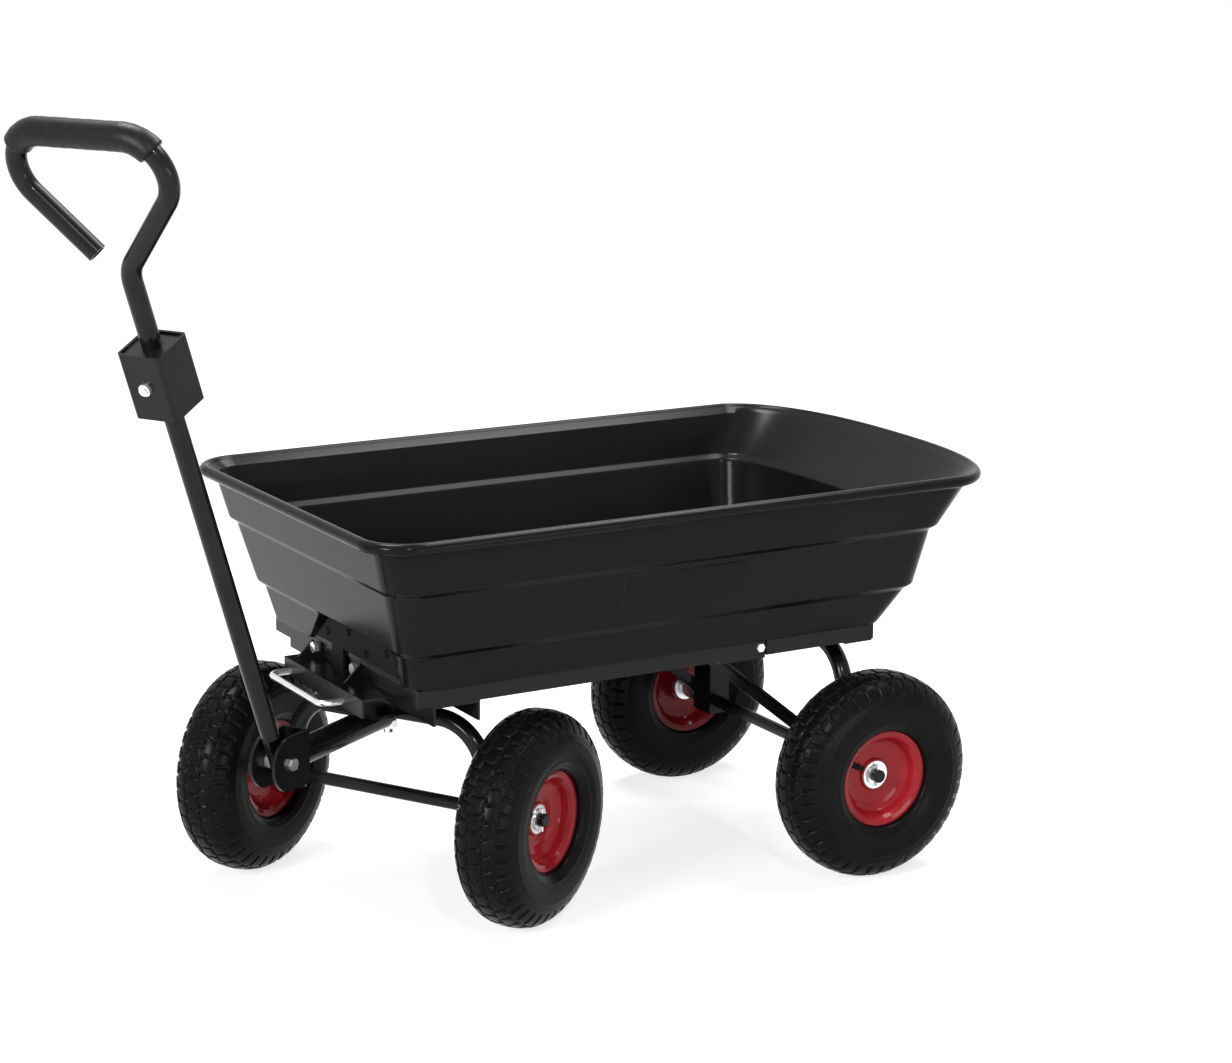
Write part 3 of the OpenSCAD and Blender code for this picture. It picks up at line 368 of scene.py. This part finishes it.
def groove(pitch, r, w):
    """Depth of the tread at an angle, counted in pitches, on a point of the section."""
    aw = abs(w)
    zig = GROOVE_SWING * math.sin(2 * math.pi * pitch)
    deep = max(soft((aw - GROOVE_IN - zig) / 1.3), soft((aw - GROOVE_OUT + zig) / 1.4))
    if aw < GROOVE_OUT:
        phase = (pitch + (0.0 if aw < GROOVE_IN else 0.5) + 0.01 * aw + 0.5) % 1.0 - 0.5
        return TREAD * max(deep, soft(phase / 0.075))
    phase = (pitch + 0.7) % 1.0 - 0.5
    return max(TREAD * deep, LUG * soft(phase / 0.11) * clip((r - TREAD_R - 1) / 5.0, 1.0))


def ridge(r):
    """Rings moulded on the side wall."""
    return 0.7 * soft((r - 72.0) / 1.8) + 0.5 * soft((r - 97.0) / 1.4)


angles = list(range(0, 100, 5)) + [100 + 1.8 * k for k in range(44)] + [178.4, 179.9]
profile = BEAD + [tyre_side(t) for t in angles]
profile = profile + [(r, -w) for r, w in reversed(profile)]
tread_rows = len(profile)
section = [tyre_side(t) for t in range(15, 180, 15)]
lining = BEAD_INSIDE + [(TYRE_MID + (r - TYRE_MID) * CASING, w * CASING) for r, w in section]
profile += [(r, -w) for r, w in lining] + [(r, w) for r, w in reversed(lining)]

cols = PITCHES * PER_PITCH
points = []
for row, (r, w) in enumerate(profile):
    moulded = row < tread_rows
    out = math.copysign(ridge(r), w) if moulded else 0.0
    for c in range(cols):
        a = 2 * math.pi * c / cols
        d = groove(c / PER_PITCH, r, w) if moulded and r > TREAD_R else 0.0
        points.append(((r - d) * math.cos(a), (r - d) * math.sin(a),
                       (w + out) * (1 - 0.25 * d / r)))
tyre_faces = ring_faces(len(profile), cols, closed=True)
tyre_mesh = mesh_object("tyre_look", np.array(points) / MM, tyre_faces, TYRE, sharp=50)
bpy.context.scene.collection.objects.unlink(tyre_mesh)
for which, sign in (("rear_near", -1), ("rear_far", 1), ("front_near", -1), ("front_far", 1)):
    j = joints[which + "_spin"]
    out = Vector(j["axis"]).normalized() * sign
    up = Vector((0, 0, 1))
    along = up.cross(out)
    turn = Matrix((along, up, out)).transposed().to_4x4()
    ob = bpy.data.objects.new(which + "_tyre_look", tyre_mesh.data)
    ob.matrix_world = Matrix.Translation(Vector(j["pos_m"])) @ turn
    bpy.context.scene.collection.objects.link(ob)
    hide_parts(which + "_tyre")
    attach(ob, "wheel_" + which)
bpy.data.objects.remove(tyre_mesh)


# Handle loop: one smooth bent tube in the handle's own plane (y to the far side, z up the handle)

STEER, LEAN = math.radians(30.3), math.radians(22.3)
TUBE_R, TUBE_BORE_R, BORE_DEPTH, END_ROUND = 11.0, 9.0, 30.0, 0.6
PIN_S = 513.0
LOOP_FOOT, LOOP_ROOT, ROOT_R, LOOP_R = PIN_S - 16.0, PIN_S + 110.0, 40.0, 43.0
LOOP_SLOPE, LOOP_SIDE, LOOP_TOP, LOOP_FREE = 41.8, 95.0, 103.0, 88.0
SEGMENTS, BEND_STEP = 40, 4
pivot = Vector(joints["drawbar_lift"]["pos_m"])
ahead = Vector((math.cos(STEER), math.sin(STEER), 0.0))
far_side = Vector((-math.sin(STEER), math.cos(STEER), 0.0))
handle_up = Vector((0, 0, 1)) * math.cos(LEAN) - ahead * math.sin(LEAN)
broad = far_side.cross(handle_up)


def ahead_by(ring, d):
    y, z, head = ring[:3]
    return y - d * math.sin(head), z + d * math.cos(head), head


def bent_path(start, steps, head=0.0):
    """Points and headings of straight runs and bends; a heading turns from z to the near side."""
    y, z = start
    path = [(y, z, head)]
    for kind, size, turn in steps:
        parts = 1 if kind == "run" else max(int(abs(turn) / BEND_STEP), 1)
        for _ in range(parts):
            a = math.radians(turn / parts)
            chord = size if kind == "run" else 2 * size * math.sin(abs(a) / 2)
            y -= chord * math.sin(head + a / 2)
            z += chord * math.cos(head + a / 2)
            head += a
            path.append((y, z, head))
    return path


def tube_points(rings):
    points = []
    for y, z, head, r in rings:
        across = far_side * math.cos(head) + handle_up * math.sin(head)
        middle = pivot + (far_side * y + handle_up * z) / MM
        for k in range(SEGMENTS):
            a = 2 * math.pi * k / SEGMENTS
            points.append(middle + (across * math.cos(a) + broad * math.sin(a)) * r / MM)
    return points


steps = [("run", LOOP_ROOT - LOOP_FOOT, 0), ("bend", ROOT_R, LOOP_SLOPE), ("run", LOOP_SIDE, 0),
         ("bend", LOOP_R, -90 - LOOP_SLOPE), ("run", LOOP_TOP, 0),
         ("bend", LOOP_R, -90 - LOOP_SLOPE), ("run", LOOP_FREE, 0)]
path = bent_path((0.0, LOOP_FOOT), steps)
rings = [(*p, TUBE_R) for p in path]
rings += [(*path[-1], TUBE_R - END_ROUND), (*path[-1], TUBE_BORE_R),
          (*ahead_by(path[-1], -BORE_DEPTH), TUBE_BORE_R)]
points = tube_points(rings)
faces = ring_faces(len(rings), SEGMENTS)
faces += [tuple(range(SEGMENTS)), tuple(range(len(points) - SEGMENTS, len(points)))]
loop = mesh_object("handle_loop_look", points, faces, STEEL, sharp=40)
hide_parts("handle_loop")
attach(loop, "drawbar")


# Foam grip: a soft sleeve over the loop's top run, a little uneven, with rounded ends

GRIP_R, GRIP_BORE_R, GRIP_WRAP, GRIP_PARTS = 15.5, 11.15, 50.0, 24
# Rounding of an end: distance from it, and how far the radius is drawn in there
GRIP_ENDS = [(0.0, 2.6), (0.4, 1.5), (1.2, 0.6), (2.4, 0.15)]


def run_start(rings):
    """Where a path has turned to face straight across the handle."""
    return next(r for r in rings if abs(r[2] + math.pi / 2) < 1e-6)


def foam_r(k):
    return GRIP_R - 0.2 + 0.12 * math.sin(1.9 * k) + 0.08 * math.sin(0.7 * k)


corner = [("bend", LOOP_R, -GRIP_WRAP)]
wrap = corner + [("run", LOOP_TOP / GRIP_PARTS, 0)] * GRIP_PARTS + corner
sleeve = bent_path((0.0, 0.0), wrap, math.radians(GRIP_WRAP - 90))
(y0, z0), (y1, z1) = run_start(path)[:2], run_start(sleeve)[:2]
sleeve = [(y + y0 - y1, z + z0 - z1, head) for y, z, head in sleeve]
rings = [(*ahead_by(sleeve[0], d), GRIP_R - drop) for d, drop in GRIP_ENDS]
rings += [(*r, foam_r(k)) for k, r in enumerate(sleeve[1:-1])]
rings += [(*ahead_by(sleeve[-1], -d), GRIP_R - drop) for d, drop in reversed(GRIP_ENDS)]
rings += [(*r, GRIP_BORE_R) for r in reversed(sleeve)]
faces = ring_faces(len(rings), SEGMENTS, closed=True)
grip = mesh_object("handle_grip_look", tube_points(rings), faces, FOAM, sharp=60)
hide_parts("handle_grip")
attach(grip, "drawbar")


# Stage and light

FLOOR_HALF = 30.0
# The floor's own brightness: less near the object, where the lamps light it too
GLOW = {"From Min": 0.6, "From Max": 2.0, "To Min": 0.78, "To Max": 1.0}
WORLD_LEVEL = {"To Min": 0.05, "To Max": 1.0}


def seen(tree):
    """1 for rays that show the background: to the camera, mirrored or through glass."""
    light_path = tree.nodes.new("ShaderNodeLightPath")
    total = light_path.outputs["Is Camera Ray"]
    for ray in ("Is Glossy Ray", "Is Transmission Ray"):
        either = tree.nodes.new("ShaderNodeMath")
        either.operation = "MAXIMUM"
        tree.links.new(total, either.inputs[0])
        tree.links.new(light_path.outputs[ray], either.inputs[1])
        total = either.outputs["Value"]
    return total


def area(name, place, aim, size, power):
    light = bpy.data.lights.new(name, "AREA")
    light.shape = "RECTANGLE"
    light.size, light.size_y = size
    light.energy = power
    ob = bpy.data.objects.new(name, light)
    ob.location = Vector(place)
    ob.rotation_euler = (Vector(aim) - Vector(place)).to_track_quat("-Z", "Y").to_euler()
    bpy.context.scene.collection.objects.link(ob)


pale, tree, bsdf = node_material("pale_floor")
reach = tree.nodes.new("ShaderNodeVectorMath")
reach.operation = "LENGTH"
tree.links.new(tree.nodes.new("ShaderNodeTexCoord").outputs["Object"], reach.inputs[0])
glow = add(tree, "ShaderNodeMapRange", **GLOW)
tree.links.new(reach.outputs["Value"], glow.inputs["Value"])
shown = tree.nodes.new("ShaderNodeMath")
shown.operation = "MULTIPLY"
tree.links.new(glow.outputs["Result"], shown.inputs[0])
tree.links.new(seen(tree), shown.inputs[1])
tree.links.new(shown.outputs["Value"], bsdf.inputs["Emission Strength"])
bsdf.inputs["Base Color"].default_value = (0.46, 0.46, 0.46, 1)
bsdf.inputs["Emission Color"].default_value = (1, 1, 1, 1)
bsdf.inputs["Roughness"].default_value = 0.9
bsdf.inputs["Specular IOR Level"].default_value = 0.1
square = [(x * FLOOR_HALF, y * FLOOR_HALF, 0) for x, y in ((-1, -1), (1, -1), (1, 1), (-1, 1))]
floor = mesh_object("floor", square, [(0, 1, 2, 3)], pale)

world = bpy.data.worlds.new("studio")
bpy.context.scene.world = world
world.use_nodes = True
world_tree = world.node_tree
back = world_tree.nodes["Background"]
level = add(world_tree, "ShaderNodeMapRange", **WORLD_LEVEL)
world_tree.links.new(seen(world_tree), level.inputs["Value"])
world_tree.links.new(level.outputs["Result"], back.inputs["Strength"])
back.inputs["Color"].default_value = (1, 1, 1, 1)

area("left", (-3.0, -1.3, 1.5), aim=(0, 0, 0.35), size=(0.8, 0.9), power=80)
area("top", (-0.3, 0.9, 3.1), aim=(0, 0, 0.3), size=(1.0, 0.7), power=65)
# Wide, above the rear end, for the lines of light on the edges
area("edge", (1.4, 0.1, 2.9), aim=(0, 0.1, 0.4), size=(2.8, 0.9), power=80)
area("spark", (-1.1, -3.1, 2.4), aim=(0, 0, 0.2), size=(0.16, 0.16), power=30)
area("low_fill", (0.8, -3.3, 0.5), aim=(0, 0, 0.2), size=(2.0, 0.5), power=18)


# Camera, fitted to the photograph

AZ, EL, DIST, ROLL = math.radians(-30.76), math.radians(13.30), 3.6328, math.radians(0.53)
SENSOR, FOCAL_PX, IMAGE_W = 36.0, 2926.8, 1232.0
target = BASE + Vector((-232.7, 4.4, 414.7)) / MM
away = Vector((math.sin(AZ) * math.cos(EL), -math.cos(AZ) * math.cos(EL), math.sin(EL)))
right = Vector((math.cos(AZ), math.sin(AZ), 0.0))
up = away.cross(right)
rolled_right = right * math.cos(ROLL) + up * math.sin(ROLL)
rolled_up = up * math.cos(ROLL) - right * math.sin(ROLL)
cam_data = bpy.data.cameras.new("camera")
cam_data.sensor_fit = "HORIZONTAL"
cam_data.sensor_width = SENSOR
cam_data.lens = SENSOR * FOCAL_PX / IMAGE_W
cam_data.clip_start, cam_data.clip_end = 0.05, 200.0
cam = bpy.data.objects.new("camera", cam_data)
turn = Matrix((rolled_right, rolled_up, away)).transposed().to_4x4()
cam.matrix_world = Matrix.Translation(target + away * DIST) @ turn
bpy.context.scene.collection.objects.link(cam)
bpy.context.scene.camera = cam
bpy.context.scene.view_settings.view_transform = "Standard"
